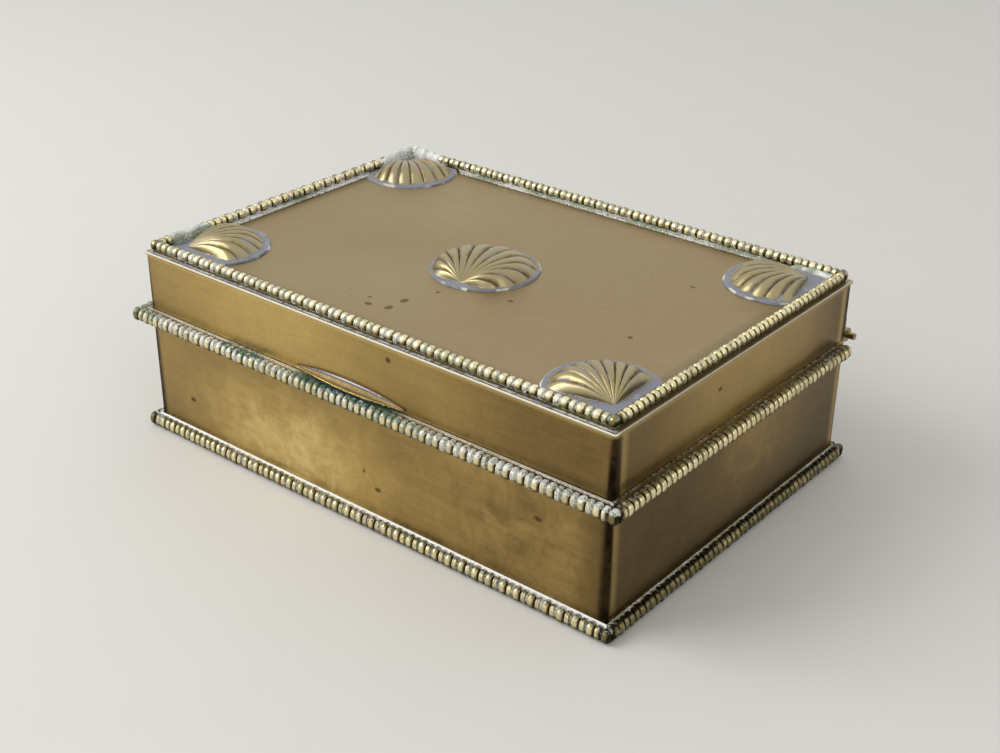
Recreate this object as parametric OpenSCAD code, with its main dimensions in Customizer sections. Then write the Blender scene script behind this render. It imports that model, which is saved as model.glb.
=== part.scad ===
// Sheet brass table box with a hinged lid, bead-and-reel mouldings and five scallop shells.
// Millimetres. X runs along the front wall, the front faces -Y, the box stands on Z = 0.

/* [Box] */
// Length of the box over its walls
box_l = 200; // [140:0.5:300]
// Depth of the box over its walls
box_w = 137.4; // [110:0.1:220]
// Height from the table to the parting line
body_h = 46.95; // [30:0.05:90]
// Height of the lid from the parting line to its upper face
lid_h = 21.6; // [15:0.1:40]
// Thickness of the sheet in the walls
wall_t = 1; // [0.6:0.1:1.8]
// Radius filed on the upright outer edges
edge_r = 1.6; // [0.4:0.1:3]
// Thickness of the bottom sheet
base_t = 1.2; // [0.8:0.1:2]
// Gap between the closed lid and the body
parting_gap = 0.2; // [0.1:0.05:0.4]

/* [Top plate] */
// Thickness of the top plate
plate_t = 1; // [0.6:0.1:2]
// How far the top plate stands out over the lid walls
plate_proud = 0.3; // [0:0.1:1]
// Radius of the top plate's corners
plate_r = 0.8; // [0.2:0.1:3]

/* [Bead and reel moulding] */
// Radius across a bead
bead_r = 1.9; // [1.5:0.05:2.2]
// Length of a bead along its row
bead_l = 2.9; // [2.4:0.05:3]
// Radius of a reel
reel_r = 1.75; // [1.3:0.05:2]
// Thickness of each of the two discs of a reel
reel_disc_t = 1; // [0.6:0.05:1]
// Groove between the two discs of a reel
reel_groove = 0.25; // [0.1:0.05:0.3]
// Radius of the core between beads and reels
core_r = 1.1; // [0.8:0.05:1.2]
// Length of one bead and its reel together
pair_pitch = 5.5; // [5.5:0.1:8]

/* [Base moulding] */
// Bead centre line outside the walls
base_out = 2.1; // [1.8:0.1:3]
// Width of the bar behind the beads
base_bar_w = 1.5; // [1:0.1:2]
// Height of the bar at the wall
base_bar_h = 5.05; // [4.5:0.05:6]
// Fall of its sloped top from the wall to the beads
base_slope = 1.15; // [0.5:0.05:1.5]

/* [Rim moulding] */
// Bead centre line outside the walls
rim_out = 3.6; // [2.4:0.05:5]
// Width of the flat ledge beside the beads
rim_ledge_w = 2.4; // [1.4:0.1:2.6]
// Ledge over the bead centres
rim_ledge_rise = 1.5; // [1.2:0.05:2]
// How far the side mouldings stop short of the back wall
rim_short = 5; // [2:0.5:12]

/* [Lid moulding] */
// Bead centre line inside the front wall
lid_bead_inset_front = 2.9; // [2.2:0.1:3.5]
// Bead centre line inside the other walls
lid_bead_inset = 2.6; // [2.2:0.1:4]
// Width of the flat strip from the bead centre line inwards
strip_w = 4; // [2.6:0.1:6]
// Thickness of the flat strip
strip_t = 0.7; // [0.4:0.1:1]
// Half width of the solder foot under the beads
bead_foot = 0.9; // [0.6:0.1:1.2]

/* [Scallop shells] */
// Radius of a corner shell's outline
corner_r = 18; // [15:0.5:18]
// Radius of the middle shell's outline
middle_r = 18.8; // [14:0.2:24]
// Root of a corner fan behind the middle of the outline
corner_root = 11; // [8:0.5:13]
// Root of the middle fan behind the middle of the outline
middle_root = 15.5; // [10:0.5:16]
// Half of the angle of a corner fan
corner_fan = 52; // [40:1:60]
// Half of the angle of the middle fan
middle_fan = 90; // [60:1:100]
// Number of lobes in a corner fan
corner_lobes = 9; // [7:1:11]
// Number of lobes in the middle fan
middle_lobes = 13; // [9:1:15]
// Flat rim in front of a corner fan
corner_flange = 2; // [1:0.1:3]
// Flat rim in front of the middle fan
middle_flange = 1.2; // [0.6:0.1:2]
// Turn of each fan about the middle of its outline
fan_turn = 8; // [0:1:12]
// Height of the dome over the flat rim
shell_h = 4.7; // [3:0.1:7]
// Thickness of the flat rim
shell_lip = 0.7; // [0.5:0.1:1]
// Depth of the furrows between the lobes
shell_furrow = 1.2; // [0.4:0.1:1.6]
// Middle of a corner shell inside the side and back walls
corner_in = 18.2; // [18.2:0.1:22]
// Middle of a front corner shell inside the front wall
corner_in_front = 19.2; // [19.2:0.1:24]
// Gap between a shell and the mouldings
shell_gap = 0.15; // [0.1:0.05:0.4]
// Middle shell in front of the middle of the lid
middle_shift = 4.2; // [0:0.1:10]

/* [Thumb lift] */
// Width of the thumb lift
lift_w = 47.5; // [25:0.5:70]
// Offset of the thumb lift along the front
lift_x = -2; // [-20:0.5:20]
// Height of its arc on the lid wall
lift_h = 3.2; // [2:0.1:8]
// How far its lip flares out from the wall
lift_out = 3.6; // [2:0.1:4.8]
// Thickness of its sheet
lift_t = 0.6; // [0.4:0.1:1]
// Lip above the lower edge of the lid
lift_rise = 1.1; // [0.6:0.1:2]

/* [Hinge] */
// Outer radius of the knuckles
knuckle_r = 2.5; // [1.8:0.05:3.2]
// Radius of the hinge pin
pin_r = 1.2; // [0.8:0.05:1.6]
// Radial running clearance round the pin
pin_clear = 0.05; // [0.02:0.01:0.1]
// Gap between the knuckles and the walls
knuckle_stand = 0.5; // [0.3:0.05:0.8]
// Number of knuckles
knuckles = 9; // [5:2:13]
// Running gap between neighbouring knuckles
knuckle_gap = 0.3; // [0.2:0.05:0.6]
// Barrel short of the walls at each end
barrel_in = 0.6; // [0:0.1:5]
// Pin beyond each end of the barrel
pin_proud = 2.6; // [0:0.1:3]
// Height of each leaf from the pin axis
leaf_h = 7.5; // [5:0.5:12]
// Thickness of the leaves
leaf_t = 0.8; // [0.5:0.1:1.2]
// Clearance between a leaf and the other leaf's knuckles
leaf_clear = 0.4; // [0.3:0.05:0.8]

/* [Lining] */
// Thickness of the lining boards
board_t = 3; // [2:0.1:5]
// Gap between the lining and the walls
board_gap = 0.4; // [0.3:0.05:0.8]
// How far the side boards stand above the parting line
board_proud = 2.5; // [1:0.1:5]
// Thickness of the board inside the lid
lid_board_t = 2; // [1:0.1:4]

/* [Hidden] */
$fn = 48;

brass = [0.64, 0.53, 0.28];
bright_brass = [0.83, 0.74, 0.43];
wood = [0.50, 0.31, 0.17];

overlap = 0.01;
lid_top = body_h + lid_h;
plate_low = lid_top - plate_t;
lid_low = body_h + parting_gap;
hinge_y = box_w / 2 + knuckle_stand + knuckle_r;
hinge_z = body_h;
barrel_l = box_l - 2 * barrel_in;
bead_lift = 0.05;
base_bead_z = bead_r + bead_lift;
rim_bead_z = body_h - rim_ledge_rise;
// Flat top of the base bar at the wall
base_crest_w = 0.3;

/* Walls */
// Rectangle with round corners
module rounded_plan(l, w, r) {
  square([l - 2 * r, w], center = true);
  square([l, w - 2 * r], center = true);
  if (r > 0)
    for (x = [-1, 1], y = [-1, 1])
      translate([x * (l / 2 - r), y * (w / 2 - r)]) circle(r);
}

// Plan of the four walls as one ring
module wall_ring() {
  difference() {
    rounded_plan(box_l, box_w, edge_r);
    rounded_plan(box_l - 2 * wall_t, box_w - 2 * wall_t, max(edge_r - wall_t, 0));
  }
}

// Wedge of the plan that belongs to the wall on the -Y side, mitred at both ends
module wall_wedge(l, w) {
  depth = max(edge_r, wall_t) + overlap;
  polygon([[-l / 2, -w / 2], [l / 2, -w / 2],
           [l / 2 - depth, -w / 2 + depth], [-l / 2 + depth, -w / 2 + depth]]);
}

// side is the angle that turns the front to the wanted side
module wall(low, high, side) {
  quarter = side % 180 == 0;
  translate([0, 0, low])
    linear_extrude(high - low)
      intersection() {
        wall_ring();
        rotate(side) wall_wedge(quarter ? box_l : box_w, quarter ? box_w : box_l);
      }
}

module body_wall(side) { color(brass) wall(base_t, body_h, side); }
module lid_wall(side) { color(brass) wall(lid_low, plate_low, side); }

module base_plate() {
  color(brass) linear_extrude(base_t) rounded_plan(box_l, box_w, edge_r);
}

module lid_top_plate() {
  color(brass)
    translate([0, 0, plate_low])
      linear_extrude(plate_t)
        rounded_plan(box_l + 2 * plate_proud, box_w + 2 * plate_proud, plate_r);
}

/* Mouldings */
// A bead is a ball with flat ends, turned about Z
module bead() {
  rotate_extrude()
    intersection() {
      circle(bead_r);
      translate([0, -bead_l / 2]) square([bead_r, bead_l]);
    }
}

// A row of beads and reels along X, with a bead centred on each end
module bead_row(length) {
  pairs = round(length / pair_pitch);
  step = length / pairs;
  disc_shift = (reel_disc_t + reel_groove) / 2;
  rotate([0, 90, 0]) {
    cylinder(r = core_r, h = length, center = true);
    for (i = [0:pairs]) translate([0, 0, -length / 2 + i * step]) bead();
    for (i = [0:pairs - 1], side = [-1, 1])
      translate([0, 0, -length / 2 + (i + 0.5) * step + side * disc_shift])
        cylinder(r = reel_r, h = reel_disc_t, center = true);
  }
}

// Plan that cuts both ends of a strip to mitres. The strip is length long on Y = 0
// and grows by its distance outwards, which is towards -Y.
module mitre_plan(length, reach_out, reach_in) {
  polygon([[-length / 2 - reach_out, -reach_out], [length / 2 + reach_out, -reach_out],
           [length / 2 - reach_in, reach_in], [-length / 2 + reach_in, reach_in]]);
}

// Moulding on a wall that lies on Y = 0: a bar against the wall, beads outside it.
// section lists the bar's corners as distance from the wall and height.
module wall_moulding(run, out, section, bead_z) {
  length = run + 2 * out;
  intersection() {
    union() {
      translate([-length / 2, 0, 0])
        rotate([90, 0, 90])
          linear_extrude(length) polygon([for (p = section) [-p[0], p[1]]]);
      translate([0, -out, bead_z]) bead_row(length);
    }
    linear_extrude(bead_z + 3 * bead_r) mitre_plan(run, out + bead_r + 1, 0);
  }
}

module base_moulding(side) {
  quarter = side % 180 == 0;
  color(bright_brass)
    rotate(side)
      translate([0, -(quarter ? box_w : box_l) / 2, 0])
        wall_moulding(quarter ? box_l : box_w, base_out,
                      [[0, bead_lift], [base_bar_w, bead_lift], [base_bar_w, base_bar_h - base_slope],
                       [base_crest_w, base_bar_h], [0, base_bar_h]], base_bead_z);
}

module rim_strip(run) {
  low = rim_bead_z - reel_r;
  wall_moulding(run, rim_out, [[0, low], [rim_ledge_w, low], [rim_ledge_w, body_h], [0, body_h]],
                rim_bead_z);
}

module rim_moulding_front() {
  color(bright_brass) translate([0, -box_w / 2, 0]) rim_strip(box_l);
}

// The side mouldings are mitred at the front and cut square near the back
module rim_moulding_side(side) {
  color(bright_brass)
    intersection() {
      rotate(side) translate([0, -box_l / 2, 0]) rim_strip(box_w);
      translate([-box_l, -box_w, 0]) cube([2 * box_l, 1.5 * box_w - rim_short, lid_top]);
    }
}

// Centre lines of the bead frame on the lid
frame_l = box_l - 2 * lid_bead_inset;
frame_w = box_w - lid_bead_inset - lid_bead_inset_front;
frame_y = (lid_bead_inset_front - lid_bead_inset) / 2;

// Middle of a corner shell, x and y are the signs of its corner
function corner_place(x, y) =
  [x * (box_l / 2 - corner_in), y * (box_w / 2 - (y > 0 ? corner_in : corner_in_front)), lid_top];

// Puts a strip, drawn with its bead line on Y = 0, on one side of the lid
module on_frame(side) {
  translate([0, frame_y, lid_top])
    rotate(side) translate([0, -(side % 180 == 0 ? frame_w : frame_l) / 2, 0]) children();
}

// Strip on the lid: beads on their foot, and a flat strip inwards, cut round the shells
module lid_moulding(side) {
  run = side % 180 == 0 ? frame_l : frame_w;
  color(bright_brass)
    intersection() {
      union() {
        on_frame(side) {
          translate([-run / 2 - bead_foot, -bead_foot, 0])
            cube([run + 2 * bead_foot, 2 * bead_foot, strip_t]);
          translate([0, 0, bead_r]) bead_row(run);
        }
        difference() {
          on_frame(side) translate([-run / 2, 0, 0]) cube([run, strip_w, strip_t]);
          for (x = [-1, 1], y = [-1, 1])
            translate(corner_place(x, y) - [0, 0, 1])
              cylinder(r = corner_r + shell_gap, h = strip_t + 2, $fn = 96);
        }
      }
      on_frame(side)
        translate([0, 0, -1]) linear_extrude(2 * bead_r + 2) mitre_plan(run, bead_r + 1, strip_w);
    }
}

/* Scallop shells */
lobe_steps = 6;
ring_steps = 10;
back_steps = 24;
dome_peak = 0.55;
// From a corner shell's middle to its straight edges along the beads
corner_reach = corner_in - lid_bead_inset - bead_r - shell_gap;

// Shell with the middle of its outline on the origin and its fan towards +Y. Directions are
// clockwise from +Y, and edges lists those of the straight edges in a corner.
module shell(radius, root, fan, lobes, flange, edges) {
  // Distance from the root to the outline
  function reach(a) =
    min(concat([root * cos(a) + sqrt(pow(radius, 2) - pow(root * sin(a), 2))],
               [for (m = edges) let (lean = cos(a - m)) if (lean > 0.01)
                 (corner_reach + root * cos(m)) / lean]));

  // Lobed dome over the flat rim, f from 0 at the root to 1 at the end of the lobes
  function dome(f, a) =
    let (rise = sin(90 * min(f / dome_peak, 1)),
         fall = cos(90 * pow(max(0, f - dome_peak) / (1 - dome_peak), 1.6)),
         side = cos(90 * pow(abs(a) / fan, 2)),
         lobe = abs(sin(180 * (a + fan) / (2 * fan) * lobes)),
         furrow = (1 - pow(lobe, 0.8)) * min(1, 1.6 * f))
    abs(a) >= fan ? 0 : max(0, shell_h * rise * fall * side - shell_furrow * furrow);

  // The fan's directions lie close, the others further apart
  fan_count = lobes * lobe_steps;
  turns = concat([for (i = [0:fan_count - 1]) -fan + 2 * fan * i / fan_count],
                 [for (i = [0:back_steps - 1]) fan + (360 - 2 * fan) * i / back_steps]);
  n = len(turns);
  top = [for (j = [1:ring_steps]) for (a = turns)
         let (f = j / (ring_steps - 1), r = j < ring_steps ? f * (reach(a) - flange) : reach(a))
         [r * sin(a), r * cos(a) - root, shell_lip + dome(f, a)]];
  foot = [for (i = [0:n - 1]) let (p = top[n * (ring_steps - 1) + i]) [p[0], p[1], 0]];
  points = concat([[0, -root, shell_lip], [0, 0, 0]], top, foot);
  faces = concat(
    [for (i = [0:n - 1]) [0, 2 + i, 2 + (i + 1) % n]],
    [for (j = [0:ring_steps - 1], i = [0:n - 1], half = [0, 1])
      let (a = 2 + j * n + i, b = 2 + j * n + (i + 1) % n) half == 0 ? [a, a + n, b + n] : [a, b + n, b]],
    [for (i = [0:n - 1]) [1, 2 + ring_steps * n + (i + 1) % n, 2 + ring_steps * n + i]]);
  polyhedron(points, faces);
}

// Shell in a corner, its root in the corner and its fan towards the middle of the lid
module corner_shell(x, y) {
  turn = x > 0 ? (y > 0 ? 135 : 45) : (y > 0 ? -135 : -45);
  color(brass)
    translate(corner_place(x, y))
      rotate(turn + fan_turn)
        shell(corner_r, corner_root, corner_fan, corner_lobes, corner_flange,
              [135 + fan_turn, -135 + fan_turn]);
}

module shell_middle() {
  color(brass)
    translate([0, -middle_shift, lid_top])
      rotate(fan_turn) shell(middle_r, middle_root, middle_fan, middle_lobes, middle_flange, []);
}

/* Thumb lift */
lift_steps = 24;
flare_steps = 6;
flare_turn = 75;
lift_edge = 0.12;

// Sheet that leaves the wall along an arc and flares outwards to its lip.
// u runs from -1 to 1 along the front, v from 0 at the arc to 1 at the lip.
function lift_point(u, v, thick) =
  let (bow = lift_edge + (1 - lift_edge) * (1 - u * u),
       bend = flare_turn * v,
       drop = lift_h * bow * sin(bend) / sin(flare_turn),
       out = (lift_out - lift_t) * bow * (1 - cos(bend)) / (1 - cos(flare_turn)))
  [u * lift_w / 2, -out - thick * cos(bend), lift_rise + lift_h * bow - drop + thick * sin(bend)];

module thumb_lift() {
  nu = lift_steps + 1;
  nv = flare_steps + 1;
  sheet = [for (thick = [lift_t, 0]) for (j = [0:flare_steps]) for (i = [0:lift_steps])
           lift_point(2 * i / lift_steps - 1, j / flare_steps, thick)];
  rim = concat([for (i = [0:lift_steps - 1]) i],
               [for (j = [0:flare_steps - 1]) j * nu + lift_steps],
               [for (i = [0:lift_steps - 1]) flare_steps * nu + lift_steps - i],
               [for (j = [0:flare_steps - 1]) (flare_steps - j) * nu]);
  back = nu * nv;
  m = len(rim);
  faces = concat(
    [for (j = [0:flare_steps - 1], i = [0:lift_steps - 1], half = [0, 1])
      let (a = j * nu + i, b = a + 1, c = a + nu, d = c + 1) half == 0 ? [a, b, d] : [a, d, c]],
    [for (j = [0:flare_steps - 1], i = [0:lift_steps - 1], half = [0, 1])
      let (a = back + j * nu + i, b = a + 1, c = a + nu, d = c + 1) half == 0 ? [a, d, b] : [a, c, d]],
    [for (k = [0:m - 1], half = [0, 1])
      let (a = rim[k], b = rim[(k + 1) % m]) half == 0 ? [a, a + back, b + back] : [a, b + back, b]]);
  color(bright_brass)
    translate([lift_x, -box_w / 2, lid_low]) polyhedron(sheet, faces);
}

/* Hinge */
knuckle_step = barrel_l / knuckles;
bore_r = pin_r + pin_clear;

// One knuckle, number k along the barrel, without its bore
module knuckle(k) {
  translate([-barrel_l / 2 + k * knuckle_step + knuckle_gap / 2, hinge_y, hinge_z])
    rotate([0, 90, 0]) cylinder(r = knuckle_r, h = knuckle_step - knuckle_gap);
}

// Room that a leaf leaves round the other leaf's knuckle
module knuckle_room(k) {
  translate([-barrel_l / 2 + k * knuckle_step - knuckle_gap / 2, hinge_y, hinge_z])
    rotate([0, 90, 0]) cylinder(r = knuckle_r + leaf_clear, h = knuckle_step + knuckle_gap);
}

// Leaf soldered to the back wall with its knuckles rolled from the same sheet.
// first is 0 or 1, the first of its knuckles, and low and high bound its plate.
module leaf(first, low, high) {
  difference() {
    union() {
      translate([-barrel_l / 2 + knuckle_gap / 2, box_w / 2, low])
        cube([barrel_l - knuckle_gap, leaf_t, high - low]);
      for (k = [first:2:knuckles - 1]) knuckle(k);
    }
    for (k = [1 - first:2:knuckles - 1]) knuckle_room(k);
    translate([-box_l, hinge_y, hinge_z]) rotate([0, 90, 0]) cylinder(r = bore_r, h = 2 * box_l);
  }
}

module hinge_leaf_body() { color(brass) leaf(0, hinge_z - leaf_h, hinge_z); }
module hinge_leaf_lid() { color(brass) leaf(1, lid_low, hinge_z + leaf_h); }

module hinge_pin() {
  color(bright_brass)
    translate([0, hinge_y, hinge_z])
      rotate([0, 90, 0]) cylinder(r = pin_r, h = barrel_l + 2 * pin_proud, center = true);
}

/* Lining */
lining_l = box_l - 2 * (wall_t + board_gap);
lining_w = box_w - 2 * (wall_t + board_gap);
lining_top = body_h + board_proud;

module lining_floor() {
  color(wood)
    translate([-lining_l / 2 + board_t, -lining_w / 2 + board_t, base_t])
      cube([lining_l - 2 * board_t, lining_w - 2 * board_t, board_t]);
}

module lining_long(y) {
  color(wood)
    translate([-lining_l / 2, y * (lining_w - board_t) / 2 - board_t / 2, base_t])
      cube([lining_l, board_t, lining_top - base_t]);
}

module lining_short(x) {
  color(wood)
    translate([x * (lining_l - board_t) / 2 - board_t / 2, -lining_w / 2 + board_t, base_t])
      cube([board_t, lining_w - 2 * board_t, lining_top - base_t]);
}

module lid_lining() {
  color(wood)
    translate([-lining_l / 2, -lining_w / 2, plate_low - lid_board_t])
      cube([lining_l, lining_w, lid_board_t]);
}

base_plate();
body_wall(0);  // body_wall_front
body_wall(180);  // body_wall_back
body_wall(-90);  // body_wall_left
body_wall(90);  // body_wall_right
base_moulding(0);  // base_moulding_front
base_moulding(180);  // base_moulding_back
base_moulding(-90);  // base_moulding_left
base_moulding(90);  // base_moulding_right
rim_moulding_front();
rim_moulding_side(-90);  // rim_moulding_left
rim_moulding_side(90);  // rim_moulding_right
lining_floor();
lining_long(-1);  // lining_front
lining_long(1);  // lining_back
lining_short(-1);  // lining_left
lining_short(1);  // lining_right
hinge_leaf_body();
hinge_pin();
lid_wall(0);  // lid_wall_front
lid_wall(180);  // lid_wall_back
lid_wall(-90);  // lid_wall_left
lid_wall(90);  // lid_wall_right
lid_top_plate();
lid_moulding(0);  // lid_moulding_front
lid_moulding(180);  // lid_moulding_back
lid_moulding(-90);  // lid_moulding_left
lid_moulding(90);  // lid_moulding_right
corner_shell(-1, -1);  // shell_front_left
corner_shell(1, -1);  // shell_front_right
corner_shell(-1, 1);  // shell_back_left
corner_shell(1, 1);  // shell_back_right
shell_middle();
thumb_lift();
hinge_leaf_lid();
lid_lining();
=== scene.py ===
import math

import bpy
import numpy as np
from mathutils import Matrix, Vector


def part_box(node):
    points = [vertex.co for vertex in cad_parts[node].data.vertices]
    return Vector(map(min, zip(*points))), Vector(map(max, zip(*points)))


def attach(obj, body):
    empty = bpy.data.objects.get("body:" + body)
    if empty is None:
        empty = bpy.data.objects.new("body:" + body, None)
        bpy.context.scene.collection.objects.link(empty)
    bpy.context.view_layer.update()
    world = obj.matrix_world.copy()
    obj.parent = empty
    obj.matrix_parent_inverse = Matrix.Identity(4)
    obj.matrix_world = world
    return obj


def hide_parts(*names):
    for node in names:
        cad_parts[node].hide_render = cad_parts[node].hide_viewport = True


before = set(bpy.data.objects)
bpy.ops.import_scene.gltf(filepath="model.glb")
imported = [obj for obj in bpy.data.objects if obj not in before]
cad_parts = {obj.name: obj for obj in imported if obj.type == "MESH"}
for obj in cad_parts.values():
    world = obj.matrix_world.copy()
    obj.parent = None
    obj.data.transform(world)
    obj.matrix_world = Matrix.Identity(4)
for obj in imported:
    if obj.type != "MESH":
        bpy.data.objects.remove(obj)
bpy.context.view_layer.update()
mm = 0.001
sharpAngle = math.radians(40)
print("frame loaded,", len(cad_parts), "nodes")


# Measures in millimetres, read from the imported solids
def boxOf(node):
    low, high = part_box(node)
    return np.array(low) / mm, np.array(high) / mm


plateLow, plateHigh = boxOf("lid_top_plate")
wallLow = np.array([boxOf("body_wall_left")[0][0], boxOf("body_wall_front")[0][1], boxOf("body_wall_front")[0][2]])
wallHigh = np.array([boxOf("body_wall_right")[1][0], boxOf("body_wall_back")[1][1], boxOf("body_wall_front")[1][2]])
lidLow = boxOf("lid_wall_front")[0][2]
lidTop = plateHigh[2]
boxLength = wallHigh[0] - wallLow[0]
boxWidth = wallHigh[1] - wallLow[1]


# Sum of sines in seeded directions: a smooth field between about -1 and 1 over points in millimetres
def waves(points, size, seed, count=9):
    rng = np.random.default_rng(seed)
    total = np.zeros(points.shape[:-1])
    for _ in range(count):
        direction = rng.normal(size=3)
        direction *= 2 * math.pi / size * rng.uniform(0.6, 1.5) / np.linalg.norm(direction)
        total += np.sin(points @ direction + rng.uniform(0, 2 * math.pi))
    return total / math.sqrt(count) / 1.4


# Faces of a tube: quads between its rings, and triangles to the two poles that follow its last ring
def tubeFaces(rows, columns):
    r = np.arange(rows - 1)[:, None] * columns
    c = np.arange(columns)
    n = (c + 1) % columns
    quads = np.stack([r + c, r + n, r + columns + n, r + columns + c], axis=-1).reshape(-1, 4)
    lastRing, firstPole = (rows - 1) * columns, rows * columns
    low = np.stack([n, c, np.full(columns, firstPole)], axis=-1)
    high = np.stack([lastRing + c, lastRing + n, np.full(columns, firstPole + 1)], axis=-1)
    return quads, np.concatenate([low, high])


# A closed tube: rings of points, each end closed with a pole in the middle of its ring. values holds one number
# for each point. The faces are turned over where the volume comes out negative.
def closedTube(rings, **values):
    rows, columns = rings.shape[:2]
    poles = np.stack([rings[0].mean(axis=0), rings[-1].mean(axis=0)])
    points = np.concatenate([rings.reshape(-1, 3), poles])
    quads, triangles = tubeFaces(rows, columns)
    fields = {}
    for name, field in values.items():
        ends = np.array([field[0].mean(), field[-1].mean()])
        fields[name] = np.concatenate([np.broadcast_to(field, (rows, columns)).reshape(-1), ends])
    a, b, c, d = (points[quads[:, k]] for k in range(4))
    volume = np.einsum("ij,ij->", a, np.cross(b, c)) + np.einsum("ij,ij->", a, np.cross(c, d))
    if volume < 0:
        quads, triangles = quads[:, ::-1], triangles[:, ::-1]
    return points, quads, triangles, fields


# Turns a part about Z by side degrees and moves it, so one strip serves all four sides
def placed(part, side=0, shift=(0, 0, 0)):
    points, quads, triangles, fields = part
    a = math.radians(side)
    turn = np.array([[math.cos(a), math.sin(a), 0], [-math.sin(a), math.cos(a), 0], [0, 0, 1]])
    return points @ turn + np.array(shift), quads, triangles, fields


# One Blender object from a list of parts, riding on a body in place of a CAD node
def makePiece(name, parts, material, body, node):
    points, loops, sizes, fields, start = [], [], [], {}, 0
    names = sorted({key for part in parts for key in part[3]})
    for partPoints, quads, triangles, values in parts:
        points.append(partPoints)
        loops += [(quads + start).reshape(-1), (triangles + start).reshape(-1)]
        sizes += [np.full(len(quads), 4), np.full(len(triangles), 3)]
        for key in names:
            fields.setdefault(key, []).append(values.get(key, np.zeros(len(partPoints))))
        start += len(partPoints)
    points, loops, sizes = np.concatenate(points), np.concatenate(loops), np.concatenate(sizes)
    mesh = bpy.data.meshes.new(name)
    mesh.vertices.add(len(points))
    mesh.vertices.foreach_set("co", (points * mm).astype(np.float32).ravel())
    mesh.loops.add(len(loops))
    mesh.loops.foreach_set("vertex_index", loops.astype(np.int32))
    mesh.polygons.add(len(sizes))
    mesh.polygons.foreach_set("loop_start", np.concatenate([[0], np.cumsum(sizes)[:-1]]).astype(np.int32))
    mesh.polygons.foreach_set("use_smooth", np.ones(len(sizes), dtype=bool))
    mesh.update(calc_edges=True)
    mesh.validate()
    for key in names:
        attribute = mesh.attributes.new(key, "FLOAT", "POINT")
        attribute.data.foreach_set("value", np.concatenate(fields[key]).astype(np.float32))
    mesh.set_sharp_from_angle(angle=sharpAngle)
    mesh.materials.append(material)
    piece = bpy.data.objects.new(name, mesh)
    bpy.context.collection.objects.link(piece)
    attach(piece, body)
    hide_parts(node)


# Smooth step from 0 to 1 between two values
def step(value, low, high):
    t = np.clip((value - low) / (high - low), 0, 1)
    return t * t * (3 - 2 * t)


# Colours are written as they look on a screen, 0 to 255
def screenColour(red, green, blue):
    values = [c / 255 for c in (red, green, blue)]
    return tuple(c / 12.92 if c <= 0.04045 else ((c + 0.055) / 1.055) ** 2.4 for c in values) + (1.0,)


# Short forms for building the node tree of a material or of the world
class Tree:
    def __init__(self, owner):
        owner.use_nodes = True
        self.owner = owner
        self.nodes, self.links = owner.node_tree.nodes, owner.node_tree.links
        self.coordinates = self.add("ShaderNodeTexCoord").outputs
        self.place = self.coordinates["Object"]

    def add(self, kind, settings=None, **sockets):
        node = self.nodes.new(kind)
        for key, value in (settings or {}).items():
            setattr(node, key, value)
        for key, value in sockets.items():
            self.put(node.inputs[key], value)
        return node

    def put(self, socket, value):
        if isinstance(value, bpy.types.NodeSocket):
            self.links.new(value, socket)
        else:
            socket.default_value = value

    def math(self, operation, a, b=0.0, c=0.0):
        node = self.add("ShaderNodeMath", {"operation": operation})
        for socket, value in zip(node.inputs, (a, b, c)):
            self.put(socket, value)
        return node.outputs[0]

    def vector(self, operation, a, b):
        node = self.add("ShaderNodeVectorMath", {"operation": operation})
        self.put(node.inputs[0], a)
        self.put(node.inputs[1], b)
        return node

    def mix(self, factor, a, b):
        node = self.add("ShaderNodeMix", {"data_type": "RGBA"})
        self.put(node.inputs[0], factor)
        self.put(node.inputs[6], a)
        self.put(node.inputs[7], b)
        return node.outputs[2]

    def ramp(self, value, colours):
        node = self.add("ShaderNodeValToRGB")
        self.put(node.inputs[0], value)
        stops = node.color_ramp.elements
        for _ in colours[2:]:
            stops.new(0.5)
        for stop, (position, colour) in zip(stops, colours):
            stop.position, stop.color = position, screenColour(*colour)
        return node.outputs["Color"]

    def band(self, value, low, high, toLow=0.0, toHigh=1.0):
        node = self.add("ShaderNodeMapRange", {"interpolation_type": "SMOOTHSTEP"}, Value=value)
        for key, number in (("From Min", low), ("From Max", high), ("To Min", toLow), ("To Max", toHigh)):
            self.put(node.inputs[key], number)
        return node.outputs[0]

    def noise(self, size, detail=4.0, rough=0.55, stretch=(1, 1, 1), turn=(0, 0, 0), shift=(0, 0, 0), warp=0.0):
        mapping = self.add("ShaderNodeMapping", Vector=self.place, Scale=stretch, Rotation=turn, Location=shift)
        node = self.add("ShaderNodeTexNoise", Vector=mapping.outputs[0], Scale=1 / (size * mm), Detail=detail,
                        Roughness=rough, Distortion=warp)
        return node.outputs[0]

    def field(self, name):
        return self.add("ShaderNodeAttribute", {"attribute_name": name}).outputs["Fac"]

    def near(self, centre, radius, stretch):
        move = self.vector("SUBTRACT", self.place, tuple(c * mm for c in centre))
        scale = self.vector("MULTIPLY", move.outputs[0], stretch)
        length = self.vector("LENGTH", scale.outputs[0], (0, 0, 0))
        return self.band(length.outputs["Value"], radius * mm, 0.0)

    def finish(self, colour, rough, metallic, bumps):
        inputs = self.nodes["Principled BSDF"].inputs
        self.put(inputs["Base Color"], colour)
        self.put(inputs["Roughness"], rough)
        self.put(inputs["Metallic"], metallic)
        normal = None
        for height, distance in bumps:
            node = self.add("ShaderNodeBump", Height=height, Distance=distance * mm, Strength=1.0)
            if normal:
                self.put(node.inputs["Normal"], normal)
            normal = node.outputs[0]
        if normal:
            self.put(inputs["Normal"], normal)
        return self.owner


def newMaterial(name):
    return Tree(bpy.data.materials.new(name))


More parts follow.
